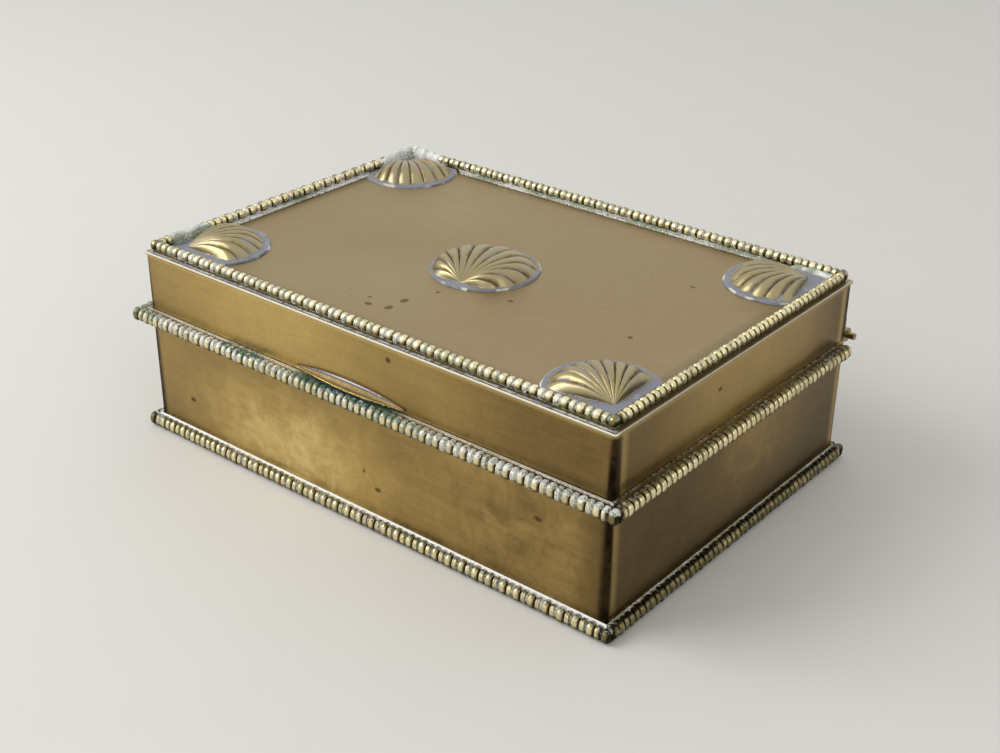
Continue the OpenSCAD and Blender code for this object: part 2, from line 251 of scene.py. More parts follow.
# Aged sheet brass: a tone from broad clouds, fine mottling, brushing streaks and gold or dark patches picks the
# colour; on the walls the gold patches are painted reflection and the dark ones painted shade. Then pits, darkening
# that is grime and painted dark reflection, edges with a painted highlight, and polish residue. The mottling is
# strong inside the gold patches.
def sheetBrass(name, look):
    t = newMaterial(name)
    broad = t.noise(look["cloud"], 3.0, 0.5, shift=look["shift"], warp=0.4)
    fine = t.noise(look["mottle"], 6.0, 0.62, warp=0.8)
    grain = t.noise(look["grainSize"], 4.0, 0.6)
    streak = t.noise(look["streak"], 3.0, 0.6, stretch=look["brush"])
    tone = t.math("MULTIPLY_ADD", broad, look["cloudShare"], look["base"] - look["cloudShare"] / 2)
    tone = t.math("ADD", tone, t.math("MULTIPLY_ADD", streak, look["streakShare"], -look["streakShare"] / 2))
    tone = t.math("ADD", tone, t.math("MULTIPLY_ADD", grain, look["grainShare"], -look["grainShare"] / 2))
    strength = 0.3
    for centre, radius, stretch, amount, mottled in look["patches"]:
        patch = t.near(centre, radius, stretch)
        tone = t.math("ADD", tone, t.math("MULTIPLY", patch, amount))
        strength = t.math("ADD", strength, t.math("MULTIPLY", patch, mottled))
    share = look["mottleShare"]
    tone = t.math("ADD", tone, t.math("MULTIPLY", t.math("MULTIPLY_ADD", fine, share, -share / 2), strength))
    colour = t.ramp(tone, look["tones"])
    pitShape = t.noise(look["pit"], 2.0, 0.5, warp=0.3)
    pitArea = t.noise(look["pit"] * 14, 2.0, 0.5, shift=(0.3, 0.1, 0.2))
    pitShape = t.band(pitShape, look["pitLevel"], look["pitLevel"] + 0.05)
    pits = t.math("MULTIPLY", pitShape, t.band(pitArea, 0.5, 0.62))
    for centre, radius, stretch in look["marks"]:
        ragged = t.math("MULTIPLY", t.near(centre, radius, stretch), t.band(grain, 0.3, 0.55, 0.5, 1.0))
        pits = t.math("MAXIMUM", pits, t.band(ragged, 0.15, 0.55))
    colour = t.mix(t.math("MULTIPLY", pits, 0.75), colour, screenColour(*look["pitColour"]))
    # Darkening from the mesh is grime and painted dark reflection; the edge value then adds a painted highlight
    grime = t.math("MULTIPLY", t.field("grime"), t.band(fine, 0.25, 0.6, 0.75, 1.0))
    colour = t.mix(grime, colour, screenColour(*look["grimeAndShadeColour"]))
    edge = t.field("edge")
    colour = t.mix(edge, colour, screenColour(*look["edgeHighlightColour"]))
    paste = t.band(t.math("MULTIPLY", t.field("paste"), t.math("MULTIPLY_ADD", grain, 1.6, 0.2)), 0.45, 0.75)
    colour = t.mix(paste, colour, t.mix(t.band(streak, 0.4, 0.6), screenColour(*look["paste"]),
                                        screenColour(*look["lilac"])))
    rough = t.math("ADD", t.math("MULTIPLY", fine, 0.6), t.math("MULTIPLY", streak, 0.4))
    rough = t.band(rough, 0.3, 0.7, *look["rough"])
    rough = t.math("ADD", rough, t.math("MULTIPLY", pits, 0.2))
    rough = t.math("SUBTRACT", rough, t.math("MULTIPLY", edge, look["edgeGloss"]))
    rough = t.math("ADD", rough, t.math("MULTIPLY", paste, 0.25))
    metallic = t.math("SUBTRACT", 1.0, t.math("MULTIPLY", paste, 0.8))
    bumps = [(broad, look["wave"]), (fine, look["grit"]), (streak, look["scratch"]),
             (t.math("SUBTRACT", 1.0, pits), look["pitDepth"])]
    return t.finish(colour, rough, metallic, bumps)


# Patches are centre, radius, stretch, change of tone and mottling; marks are centre, radius and stretch. On the
# body and lid walls the brighter patches are painted reflections and the darker ones painted shade.
bodySheetLook = {
    "cloud": 46, "mottle": 9, "grainSize": 1.6, "streak": 3.0, "brush": (0.12, 0.12, 2.2),
    "shift": (0.02, 0.01, 0.0), "pit": 2.2, "pitDepth": 0.05, "base": 0.44, "cloudShare": 0.30,
    "mottleShare": 0.75, "grainShare": 0.14, "streakShare": 0.16,
    "tones": [(0.0, (82, 66, 36)), (0.35, (138, 114, 70)), (0.7, (188, 160, 98)), (1.0, (222, 198, 134))],
    "pitColour": (74, 54, 26), "pitLevel": 0.74, "grimeAndShadeColour": (30, 21, 10), "edgeHighlightColour": (196, 168, 98),
    "paste": (206, 208, 204), "lilac": (160, 160, 178),
    "rough": (0.27, 0.42), "edgeGloss": 0.08, "wave": 0.4, "grit": 0.010, "scratch": 0.004,
    "patches": [((-32, -69, 14), 66, (1, 1, 2.0), 0.50, 1.1), ((62, -69, 20), 46, (1, 1, 1), -0.02, 0.6),
                ((100, 0, 24), 150, (9, 0.4, 1), -0.34, 0.0), ((100, 12, 36), 56, (4, 1, 1.2), 0.34, 0.4)],
    "marks": [((9, -69, 14.6), 2.6, (1, 1, 1.8)), ((3, -69, 19.6), 1.6, (1.8, 1, 1)),
              ((-81, -69, 16.6), 2.4, (1, 1, 1.6)), ((74, -69, 30.6), 2.2, (0.8, 1, 1.6))],
}
lidSheetLook = dict(bodySheetLook, **{
    "shift": (0.05, 0.03, 0.02), "base": 0.46, "mottleShare": 0.4,
    # The lid walls' patches: painted reflections where brighter, painted shade where darker
    "patches": [((-36, -69, 58), 75, (1, 1, 1), 0.28, 0.3), ((95, -69, 58), 60, (1, 1, 1), -0.20, 0.3),
                ((100, 0, 58), 50, (1, 1, 1), 0.12, 0.2), ((100, 69, 58), 36, (1, 1, 1), -0.4, 0.3)],
    "marks": [((15, -69, 63.6), 1.8, (1, 1, 1)), ((100, -14, 60.6), 1.8, (1, 1, 1.5))],
})
topLook = dict(bodySheetLook, **{
    "cloud": 60, "streak": 4.0, "brush": (0.25, 1.6, 1.0), "shift": (0.0, 0.04, 0.0),
    "pit": 2.6, "base": 0.5, "cloudShare": 0.30, "mottleShare": 0.4, "grainShare": 0.16, "streakShare": 0.14,
    "tones": [(0.0, (122, 102, 64)), (0.4, (150, 131, 94)), (0.6, (156, 138, 104)), (1.0, (176, 158, 116))],
    "pitColour": (92, 72, 44), "grimeAndShadeColour": (100, 84, 54), "edgeHighlightColour": (246, 240, 222),
    "paste": (208, 212, 208), "lilac": (150, 150, 172), "rough": (0.42, 0.56), "edgeGloss": 0.24, "wave": 0.35,
    "patches": [((-45, 30, 68.6), 40, (1, 1, 1), 0.12, 0.2), ((-20, -35, 68.6), 45, (1, 1, 1), 0.12, 0.2),
                ((55, 25, 68.6), 60, (1, 1, 1), -0.08, 0.2)],
    "marks": [((-3.5, -41, 68.6), 2.8, (1.4, 1, 1)), ((-3.8, -48, 68.6), 2.6, (1.2, 1, 1)),
              ((-11, -50, 68.6), 2.4, (1, 1.4, 1)), ((-14, -46, 68.6), 1.8, (1, 1.8, 1)),
              ((0.5, -29, 68.6), 1.8, (1.6, 1, 1)), ((23, -19, 68.6), 1.8, (1, 1.4, 1)),
              ((68, -16, 68.6), 1.6, (1, 1, 1)), ((62, 29, 68.6), 1.8, (1, 1.6, 1))],
})


# Cast and stamped brass trim: bright on its crests, which on the beads is a painted highlight, brown on its flanks,
# dark in its hollows with tarnish and painted shade, with a second tone in clouds, residue that is white or cool by
# patches, and verdigris given as centre, radius and stretch
def trimBrass(name, look):
    t = newMaterial(name)
    fine = t.noise(look["mottle"], 5.0, 0.6, warp=0.6)
    speck = t.noise(look["mottle"] * 0.4, 3.0, 0.6, shift=(0.1, 0.3, 0.2))
    broad = t.noise(look["cloud"], 3.0, 0.5)
    shadeAndTarnishLevel = t.math("ADD", t.field("hollow"), t.math("MULTIPLY_ADD", fine, 0.7, -0.35))
    shadeAndTarnishLevel = t.math("ADD", shadeAndTarnishLevel, t.math("MULTIPLY_ADD", broad, 0.5, -0.25))
    colour = t.mix(t.band(shadeAndTarnishLevel, *look["flank"]), screenColour(*look["gold"]), screenColour(*look["brown"]))
    tone = t.band(t.noise(look["cloud"] * 0.4, 3.0, 0.6, shift=(0.4, 0.2, 0.1)), 0.45, 0.65)
    colour = t.mix(t.math("MULTIPLY", tone, look["toneShare"]), colour, screenColour(*look["tone"]))
    colour = t.mix(t.band(shadeAndTarnishLevel, *look["deep"]), colour, screenColour(*look["grime"]))
    white = t.math("MULTIPLY_ADD", speck, look["speckShare"], -look["speckShare"] / 2)
    white = t.band(t.math("ADD", broad, white), *look["whiteArea"])
    white = t.math("MAXIMUM", white, t.band(t.field("paste"), 0.82, 0.95))
    tint = t.mix(white, screenColour(*look["coolPaste"]), screenColour(*look["paste"]))
    cover = t.math("MULTIPLY_ADD", t.math("ADD", fine, speck), 1.5, -0.5)
    mask = t.band(t.math("MULTIPLY", t.field("paste"), cover), 0.35, 0.7)
    colour = t.mix(mask, colour, tint)
    for centre, radius, stretch in look["verdigris"]:
        green = t.band(t.near(centre, radius, stretch), 0.05, 0.5)
        green = t.math("MULTIPLY", green, t.band(fine, 0.36, 0.56))
        green = t.math("MULTIPLY", green, t.band(t.field("hollow"), 0.1, 0.5))
        colour = t.mix(green, colour, screenColour(*look["verdigrisColour"]))
        mask = t.math("MAXIMUM", mask, green)
    rough = t.band(shadeAndTarnishLevel, 0.2, 0.9, *look["rough"])
    rough = t.math("ADD", rough, t.math("MULTIPLY", mask, 0.3))
    metallic = t.math("SUBTRACT", 1.0, t.math("MULTIPLY", mask, 0.85))
    crust = t.math("MULTIPLY", mask, fine)
    return t.finish(colour, rough, metallic, [(fine, look["grit"]), (crust, look["crust"])])


# On the beads the bright crest colour is a painted highlight, and the deep colour is tarnish with painted shade
mouldingLook = {
    "mottle": 1.6, "cloud": 20, "gold": (238, 224, 178), "brown": (116, 106, 68), "flank": (0.04, 0.42),
    "tone": (150, 142, 110), "toneShare": 0.45, "grime": (38, 34, 20), "deep": (0.55, 1.0),
    "paste": (226, 226, 222), "coolPaste": (140, 150, 128), "whiteArea": (0.42, 0.62), "speckShare": 0.9,
    "rough": (0.16, 0.42), "grit": 0.02, "crust": 0.12, "verdigrisColour": (62, 96, 82),
    "verdigris": [((-2, -71, 47), 34, (1, 4, 5)), ((-50, -71, 47), 16, (1, 4, 5))],
}
shellLook = {
    "mottle": 2.2, "cloud": 14, "gold": (160, 148, 110), "brown": (116, 100, 66), "flank": (0.1, 0.55),
    "tone": (150, 142, 124), "toneShare": 0.6, "grime": (70, 58, 38), "deep": (0.62, 1.05),
    "paste": (218, 220, 214), "coolPaste": (136, 140, 154), "whiteArea": (0.60, 0.80), "speckShare": 0.3,
    "rough": (0.32, 0.5), "grit": 0.02, "crust": 0.12, "verdigris": [],
}
# On the thumb lift the bright colour is a painted highlight on its lip and the pale residue colour a painted
# reflection
liftLook = dict(shellLook, **{"gold": (236, 222, 168), "brown": (98, 84, 56), "tone": (120, 108, 84),
                              "flank": (0.05, 0.4), "toneShare": 0.3, "paste": (232, 230, 238),
                              "rough": (0.2, 0.5)})
hingeLook = dict(shellLook, **{"gold": (150, 134, 92), "brown": (104, 88, 54), "toneShare": 0.4,
                               "rough": (0.28, 0.5)})
print("materials ready")


# Rectangle with round corners as points and outward directions, anticlockwise from the middle of the front
def roundPath(length, width, radius, spacing=2.0, arcSteps=8):
    points, normals = [], []
    corners = [(length / 2, -width / 2, -90), (length / 2, width / 2, 0),
               (-length / 2, width / 2, 90), (-length / 2, -width / 2, 180)]
    for x, y, angle in corners:
        cx, cy = x - math.copysign(radius, x), y - math.copysign(radius, y)
        for a in np.radians(angle + np.linspace(0, 90, arcSteps + 1)):
            points.append((cx + radius * math.cos(a), cy + radius * math.sin(a)))
            normals.append((math.cos(a), math.sin(a)))
    fullPoints, fullNormals = [], []
    for i in range(len(points)):
        here, there = np.array(points[i - 1]), np.array(points[i])
        pieces = max(1, int(np.linalg.norm(there - here) / spacing))
        for k in range(pieces):
            share = k / pieces
            fullPoints.append(here * (1 - share) + there * share)
            direction = np.array(normals[i - 1]) * (1 - share) + np.array(normals[i]) * share
            fullNormals.append(direction / np.linalg.norm(direction))
    return np.array(fullPoints), np.array(fullNormals)


# front and side give where the painted dark reflection along each corner ends, gleam where the painted bright
# reflection beside it starts, peaks and ends; rimShine is the painted highlight along the top rim
wallShape = {"radius": 1.6, "thickness": 1.0, "softEdge": 0.18, "wave": 0.10, "dent": 60, "rows": 22, "spacing": 0.8,
             "arcSteps": 7, "fade": 14, "gleamShare": 0.6, "rimShine": 0.5,
             "body": {"front": (1.0, 3.6), "side": (0.6, 1.4), "gleam": (0.8, 2.4, 5.5)},
             "lid": {"front": (0.6, 1.9), "side": (2.0, 3.4), "gleam": (2.8, 4.4, 7.5)}}


# One wall: a thin upright loop (outer face, rim, inner face, foot) carried along its side of the rounded
# rectangle, from the middle of one corner to the middle of the next, bowed slightly in and out
def wallPart(kind, side, low, high):
    s = wallShape
    wear = s[kind]
    quarter = side % 180 == 0
    run, depth = (boxLength, boxWidth) if quarter else (boxWidth, boxLength)
    arc = np.radians(np.linspace(45, 0, s["arcSteps"]))
    inner = run / 2 - s["radius"]
    straight = np.linspace(-inner, inner, int(2 * inner / s["spacing"]))[1:-1]
    x = np.concatenate([-inner - s["radius"] * np.sin(arc), straight, inner + s["radius"] * np.sin(arc[::-1])])
    tilt = np.concatenate([-arc, np.zeros(len(straight)), arc[::-1]])
    y = -depth / 2 + s["radius"] * (1 - np.cos(tilt))
    e = s["softEdge"]
    outer = np.linspace(low + e, high - e, s["rows"])
    profile = [(0.3 * e, low + 0.3 * e)] + [(0, z) for z in outer] + [(0.3 * e, high - 0.3 * e), (e, high)]
    profile += [(s["thickness"] - e, high), (s["thickness"], high - e), (s["thickness"], low + e),
                (s["thickness"] - e, low), (e, low)]
    inset, z = np.array(profile).T
    rings = np.stack([x[:, None] - np.sin(tilt)[:, None] * inset, y[:, None] + np.cos(tilt)[:, None] * inset,
                      np.broadcast_to(z, (len(x), len(z)))], axis=-1)
    a = math.radians(side)
    world = rings @ np.array([[math.cos(a), math.sin(a), 0], [-math.sin(a), math.cos(a), 0], [0, 0, 1]])
    bow = s["wave"] * waves(world, s["dent"], 11)
    rings[..., 1] -= bow * np.minimum(1, (inner + 2 - np.abs(x)) / s["fade"])[:, None]
    # Each corner takes a painted dark reflection, wider towards the bottom; the side walls take a painted bright
    # reflection beside it, and the top rim a painted highlight
    fromCorner = (run / 2 - np.abs(x))[:, None]
    lower = (1 - (z - low) / (high - low))[None, :]
    grime = 1 - step(fromCorner - lower, *wear["front" if quarter else "side"])
    near, full, gone = wear["gleam"]
    gleam = 0.0 if quarter else step(fromCorner, near, full) * (1 - step(fromCorner, full, gone))
    rim = np.broadcast_to((np.abs(z - high) < 1.2 * e) & (inset < 0.9), rings.shape[:2])
    return closedTube(rings, grime=grime, edge=np.maximum(rim * s["rimShine"], s["gleamShare"] * gleam))


bodyBrass = sheetBrass("bodySheetBrass", bodySheetLook)
lidBrass = sheetBrass("lidSheetBrass", lidSheetLook)
topBrass = sheetBrass("topPlateBrass", topLook)
sides = {"front": 0, "right": 90, "back": 180, "left": -90}
lidHigh = boxOf("lid_wall_front")[1][2]
for sideName, side in sides.items():
    bodyWall = placed(wallPart("body", side, wallLow[2], wallHigh[2]), side)
    makePiece("body_wall_" + sideName + "_sheet", [bodyWall], bodyBrass, "body", "body_wall_" + sideName)
    lidWall = placed(wallPart("lid", side, lidLow, lidHigh), side)
    makePiece("lid_wall_" + sideName + "_sheet", [lidWall], lidBrass, "lid", "lid_wall_" + sideName)
print("walls made")


# edgeShine, a painted highlight along the plate's edge, and marginPaste hold the value all round and what the front
# adds
plateShape = {"radius": 0.8, "softEdge": 0.22, "wave": 0.12, "dent": 70, "ring": 2.2, "margin": (0.5, 2.4),
              "edgeShine": (0.4, 0.6), "marginPaste": (0.42, 0.3), "darkBandAt": 7.0, "darkBandShare": 0.55}


# The top plate: a rounded rectangle shrunk ring by ring to its middle line, below and above, with soft edges.
# Polish residue lies on the margin outside the beads.
def platePart():
    s = plateShape
    length, width = plateHigh[0] - plateLow[0], plateHigh[1] - plateLow[1]
    low, high, e = plateLow[2], plateHigh[2], s["softEdge"]
    inner = np.linspace(2.6, width / 2 - 0.3, int(width / 2 / s["ring"]))
    profile = [(d, low) for d in inner[::-6]] + [(0.6, low), (0.0, low + 0.2), (0.0, high - e)]
    profile += [(0.3 * e, high - 0.3 * e)] + [(d, high) for d in (e, 0.5, 0.9, 1.4, 2.0, *inner)]
    path, normals = roundPath(length, width, s["radius"])
    half = np.array([length, width]) / 2
    rings = []
    for inset, z in profile:
        shrunk = path - normals * min(inset, 0.9 * s["radius"])
        limit = np.maximum(half - inset, 0)
        rings.append(np.column_stack([np.clip(shrunk, -limit, limit), np.full(len(path), z)]))
    rings = np.array(rings)
    insets = np.array([p[0] for p in profile])[:, None]
    top = rings[..., 2] > high - 0.01
    sag = np.minimum(s["wave"] * (waves(rings, s["dent"], 5) - 0.6), 0) * step(insets, 4, 25)
    rings[..., 2] += np.where(top, sag, 0)
    front = 1 - step(rings[..., 1], -width / 2 + 1, -width / 2 + 3)
    shine, frontShine = s["edgeShine"]
    # The outer edge takes a painted highlight, stronger at the front; the top darkens in a band a set distance in
    # from its edge, and the plate's other faces are darker than its top
    edge = np.where((insets < 0.3) & (rings[..., 2] > low + 0.5), shine + frontShine * front, 0.0)
    grime = np.where(top, s["darkBandShare"] * (1 - step(np.abs(insets - s["darkBandAt"]), 0.5, 4.0)), 0.4)
    margin = (insets > s["margin"][0]) & (insets < s["margin"][1])
    paste, frontPaste = s["marginPaste"]
    return closedTube(rings, edge=edge, grime=grime, paste=margin * (paste + frontPaste * front) * top)


makePiece("lid_top_sheet", [platePart()], topBrass, "lid", "lid_top_plate")
print("top plate made")


# away and cornerShade darken a bead as painted shade on its side turned from the given angle and at the row's ends;
# groovePaste is the residue in the grooves left of each bead
beadShape = {"radius": 1.9, "half": 1.6, "bulge": 2.3, "reel": 1.74, "disc": 0.46, "discShift": 0.44, "core": 1.05,
             "waist": 1.55, "pitch": 5.5, "spacing": 0.17, "around": 22, "jitter": 0.05, "uneven": 0.05,
             "away": 0.65, "cornerShade": 0.5, "groovePaste": 0.8}


# A bead row along X: the radius swells to an oval bead at every step and to two round discs half-way between.
# Each bead has its own small offset and size. The darkening is 0 on the crests that face the given angle, which
# take a painted highlight, and grows as tarnish and painted shade in the grooves, and as painted shade on the far
# side, on darker strips and at the corners. shape is the half depth and half height of a bead and how far the
# painted highlight reaches round it; crust is the residue on the discs.
def beadRow(length, seed, highlightAngle, shape, crust, shade, start, end):
    s = beadShape
    wide, tall, glow = shape
    pairs = round(length / s["pitch"])
    pitch = length / pairs
    x = np.linspace(start, end, int((end - start) / s["spacing"]) + 1)
    number = np.round((x + length / 2) / pitch)
    off = x + length / 2 - number * pitch
    bead = s["radius"] * np.maximum(1 - np.abs(off / s["half"]) ** s["bulge"], 0) ** (1 / s["bulge"])
    gap = np.abs(pitch / 2 - np.abs(off)) - s["discShift"]
    core = np.where(gap < 0, s["waist"], s["core"])
    disc = core + (s["reel"] - core) * np.sqrt(np.maximum(1 - (gap / s["disc"]) ** 2, 0))
    radius = np.where(np.abs(x) > length / 2, np.maximum(bead, 0.02), np.maximum(bead, disc))
    rng = np.random.default_rng(seed)
    swell = 1 + s["uneven"] * rng.uniform(-1, 0, pairs + 2)
    shiftY, shiftZ = s["jitter"] * rng.uniform(-1, 1, (2, pairs + 2))
    index = np.clip(number.astype(int), 0, pairs + 1)
    near = np.clip(1 - np.abs(off) / (pitch / 2), 0, 1)
    radius = radius * (1 + (swell[index] - 1) * near)
    angle = np.linspace(0, 2 * math.pi, s["around"], endpoint=False)
    y = (shiftY[index] * near)[:, None] + radius[:, None] * np.cos(angle) * wide / s["radius"]
    z = (shiftZ[index] * near)[:, None] + radius[:, None] * np.sin(angle) * tall / s["radius"]
    rings = np.stack([np.broadcast_to(x[:, None], y.shape), y, z], axis=-1)
    groove = (1 - step(radius, s["core"] * 1.02, s["radius"] * 0.93))[:, None]
    onReel = step(np.abs(off), s["half"] - 0.1, s["half"] + 0.1)[:, None]
    # Residue fills the grooves on each bead's left; those on its right stay dark as painted shadow
    inGroove = groove * (off < 0)[:, None] > 0.3
    filled = np.where(onReel * (gap < s["disc"])[:, None] > 0.5, crust, inGroove * s["groovePaste"])
    # Turned from the given angle the bead darkens as painted shade round its painted highlight; corner beads and
    # darker strips add painted shade
    turnedAway = 1 - np.cos(angle - math.radians(highlightAngle))
    away = s["away"] * step(turnedAway, 0.02, glow)
    upper = 1 - step(turnedAway, 0.6, 1.5)
    atCorner = s["cornerShade"] * step(np.abs(x), length / 2 - 3.2, length / 2 - 1.2)[:, None]
    hollow = groove * (1 - 0.5 * onReel) + shade + atCorner + away * (1 - groove)
    return closedTube(rings, hollow=np.clip(hollow, 0, 1), paste=filled * upper * (1 - atCorner))


barShape = {"piece": 0.8, "spacing": 1.5, "waviness": 0.05, "swing": 14}


# A straight bar along X with soft long edges: corners are its profile in Y and Z, and ends gives where each point
# of the profile starts and stops, which makes mitres, square ends and curved ends
def barPart(corners, ends, seed, soft):
    s = barShape
    corners = np.array(corners, float)
    rounded = []
    for i in range(len(corners)):
        before, here, after = corners[i - 1], corners[i], corners[(i + 1) % len(corners)]
        for toward in (before, after):
            gap = np.linalg.norm(toward - here)
            rounded.append(here + (toward - here) * min(soft, gap / 3) / gap)
        rounded.insert(-1, (rounded[-1] + rounded[-2]) / 2 * 0.5 + here * 0.5)
    profile = []
    for i in range(len(rounded)):
        here, there = rounded[i], rounded[(i + 1) % len(rounded)]
        pieces = max(1, int(np.linalg.norm(there - here) / s["piece"]))
        profile += [here + (there - here) * k / pieces for k in range(pieces)]
    profile = np.array(profile)
    low, high = ends(profile[:, 0])
    count = max(4, int((high.max() - low.min()) / s["spacing"]))
    share = np.linspace(0, 1, count)[:, None]
    x = low * (1 - share) + high * share
    rings = np.stack([x, np.broadcast_to(profile[:, 0], x.shape), np.broadcast_to(profile[:, 1], x.shape)], axis=-1)
    wobble = s["waviness"] * waves(rings * np.array([1, 0, 0]), s["swing"], seed)
    top = step(profile[:, 1], profile[:, 1].max() - 0.6, profile[:, 1].max())
    rings[..., 2] += np.minimum(wobble, 0) * top
    rings[..., 1] += 0.6 * wobble * step(-profile[:, 0], 0.6, 1.2)
    return rings, profile


# A shift given for the front, turned to another side
def turned(shift, side):
    a = math.radians(side)
    x, y, z = shift
    return (x * math.cos(a) - y * math.sin(a), x * math.sin(a) + y * math.cos(a), z)


# Each moulding: the bead line's distance from the wall and its height, the bead's shape, the residue on discs and
# bead tops, the angle that takes a painted highlight, and the bar's corners in Y and Z
ledge = wallHigh[2]
cornerGap = 0.6 * beadShape["core"]
wallMouldings = {
    "base": {"out": 1.75, "bead": 2.66, "shape": (2.2, 2.6, 0.42), "crust": 0.4, "crown": 0.4, "highlightAngle": 166,
             "seed": 20, "bar": [(0, 0.1), (0, 5.05), (-0.3, 5.0), (-0.75, 4.35), (-1.5, 3.9), (-1.5, 0.1)]},
    "rim": {"out": 3.15, "bead": ledge - 2.05, "shape": (2.3, 2.6, 0.42), "crust": 0.54, "crown": 0.66,
            "highlightAngle": 168, "seed": 40, "bar": [(0, ledge - 4.9), (0, ledge), (-2.4, ledge), (-2.4, ledge - 4.6)]},
}
# Share of the residue on each side, and how much painted shade darkens each side's strips
residue = {"front": 1.0, "right": 0.5, "back": 0.75, "left": 0.8}
shades = {"base": {"front": 0.06, "right": 0.34, "back": 0.15, "left": 0.1},
          "rim": {"front": 0.0, "right": 0.0, "left": 0.0},
          "lid": {"front": -0.06, "right": 0.02, "back": 0.0, "left": 0.0}}


# A moulding strip on a wall: its bar against the wall and its beads outside, mitred at the corners.
# The side strips leave the corner beads to the front and back strips. Where cut is given, the back end of a side
# strip stops square there.
def wallMoulding(kind, sideName, side, number, cut=None):
    s = wallMouldings[kind]
    quarter = side % 180 == 0
    run, depth = (boxLength, boxWidth) if quarter else (boxWidth, boxLength)
    cutLow = cut is not None and side == -90
    cutHigh = cut is not None and side == 90
    row = run + 2 * s["out"]
    corner = row / 2 + beadShape["half"] if quarter else row / 2 - cornerGap

    def ends(y):
        low = np.full(len(y), -cut) if cutLow else -run / 2 + y
        high = np.full(len(y), cut) if cutHigh else run / 2 - y
        return low, high

    rings, profile = barPart(s["bar"], ends, s["seed"] + number, 0.3)
    up = step(profile[:, 1], s["bead"] + 0.2, s["bead"] + 1.4) * (1 - step(-profile[:, 0], 0.9, 1.7))
    paste = np.broadcast_to(residue[sideName] * up, rings.shape[:2])
    # The bar darkens away from its top by the wall, as tarnish and painted shade
    hollow = np.broadcast_to(0.45 + 0.4 * (1 - up), rings.shape[:2])
    bar = closedTube(rings, paste=paste, hollow=hollow)
    start, end = -cut if cutLow else -corner, cut if cutHigh else corner
    points, quads, triangles, fields = beadRow(row, s["seed"] + 7 * number, s["highlightAngle"], s["shape"], s["crust"],
                                               shades[kind][sideName], start, end)
    points = points + np.array([0, -s["out"], s["bead"]])
    above = points[:, 2] - s["bead"]
    inwards = step(points[:, 1], -s["out"] - 0.2, -s["out"] + 1.2) * step(above, 0.2, 1.3)
    crown = s["crown"] * step(above, 0.6, 1.6)
    fields["paste"] = residue[sideName] * np.clip(0.9 * inwards + np.maximum(crown, fields["paste"]), 0, 0.95)
    shift = turned((0, -depth / 2, 0), side)
    return [placed(part, side, shift) for part in (bar, (points, quads, triangles, fields))]


mouldingBrass = trimBrass("mouldingBrass", mouldingLook)
rimBack = boxOf("rim_moulding_left")[1][1]
for number, (sideName, side) in enumerate(sides.items()):
    makePiece("base_beading_" + sideName, wallMoulding("base", sideName, side, number), mouldingBrass, "body",
              "base_moulding_" + sideName)
    if sideName != "back":
        parts = wallMoulding("rim", sideName, side, number, None if side == 0 else rimBack)
        makePiece("rim_beading_" + sideName, parts, mouldingBrass, "body", "rim_moulding_" + sideName)
print("wall mouldings made")


shellShape = {"dome": 4.7, "lip": 0.7, "furrow": 1.0, "narrow": 0.55, "peak": 0.55, "turn": 8.0, "lobeSteps": 20,
              "backStep": 1.6, "ringSteps": 34, "spread": 0.5}
shellKinds = {"corner": {"radius": 18.0, "root": 11.0, "fan": 52.0, "lobes": 9, "flange": 2.0, "furrowPaste": 0.95},
              "middle": {"radius": 18.8, "root": 15.5, "fan": 90.0, "lobes": 13, "flange": 1.2, "furrowPaste": 0.5}}
shellPlace = {"inSide": 18.2, "inFront": 19.2, "middleShift": 4.2}
# The angle given for each strip is where its beads take a painted highlight: up and outwards on the front and right,
# up and inwards on the back and left
lidStrip = {"insetFront": 2.9, "inset": 2.6, "width": 4.0, "thick": 0.7, "foot": 0.9, "gap": 0.15, "seed": 60,
            "highlightAngle": {"front": 122, "right": 122, "back": 32, "left": 32}, "bead": (1.9, 1.98, 0.85), "crust": 0.5}
# Residue at each end of a lid strip: start from the corner, length, offset inwards, half width and height
ridges = {("front", -1): (2, 15, 1.9, 1.4, 2.0), ("front", 1): (2, 17, 1.9, 1.3, 1.8),
          ("right", -1): (2, 17, 1.9, 1.3, 1.8), ("right", 1): (2, 17, 1.8, 1.6, 2.4),
          ("back", -1): (2, 17, 1.8, 1.6, 2.4), ("back", 1): (0, 19, 0.6, 2.3, 5.1),
          ("left", -1): (0, 20, 0.6, 2.3, 5.1), ("left", 1): (6, 19, 0.9, 2.5, 5.0)}

frameLength = boxLength - 2 * lidStrip["inset"]
frameWidth = boxWidth - lidStrip["inset"] - lidStrip["insetFront"]
frameY = (lidStrip["insetFront"] - lidStrip["inset"]) / 2
cornerReach = shellPlace["inSide"] - lidStrip["inset"] - beadShape["radius"] - lidStrip["gap"]


# Polish residue banked against the beads near a corner: a lumpy mound on an oval section, as long as start to end.
# The high mounds are whitest along their crest.
def residueRidge(start, end, ridge, seed):
    offset, halfWidth, height = ridge
    share = np.linspace(0, 1, 60)
    x = np.linspace(start, end, len(share))
    lumps = np.clip(0.92 + 0.1 * waves(np.stack([x, 0 * x, 0 * x], -1), 4.5, seed), 0.6, 1.0)
    size = (lumps * np.sqrt(np.clip(1 - share ** 6, 0.002, 1)) * np.sqrt(np.clip(share * 20, 0.01, 1)))[:, None]
    angle = np.linspace(0, 2 * math.pi, 16, endpoint=False)
    y = offset + 0.25 * np.sin(x)[:, None] + halfWidth * size * np.cos(angle)
    z = np.maximum(height * size * np.sin(angle), 0.02 * (1 + np.cos(angle)))
    rings = np.stack([np.broadcast_to(x[:, None], y.shape), y, z], axis=-1)
    crest = step(np.sin(angle), 0.75, 0.95) if height > 3 else 0.6
    paste = 0.76 + 0.08 * step(waves(rings, 5, seed + 1), -0.2, 0.5) + 0.14 * crest
    return closedTube(rings, paste=paste, hollow=np.full(y.shape, 0.4))


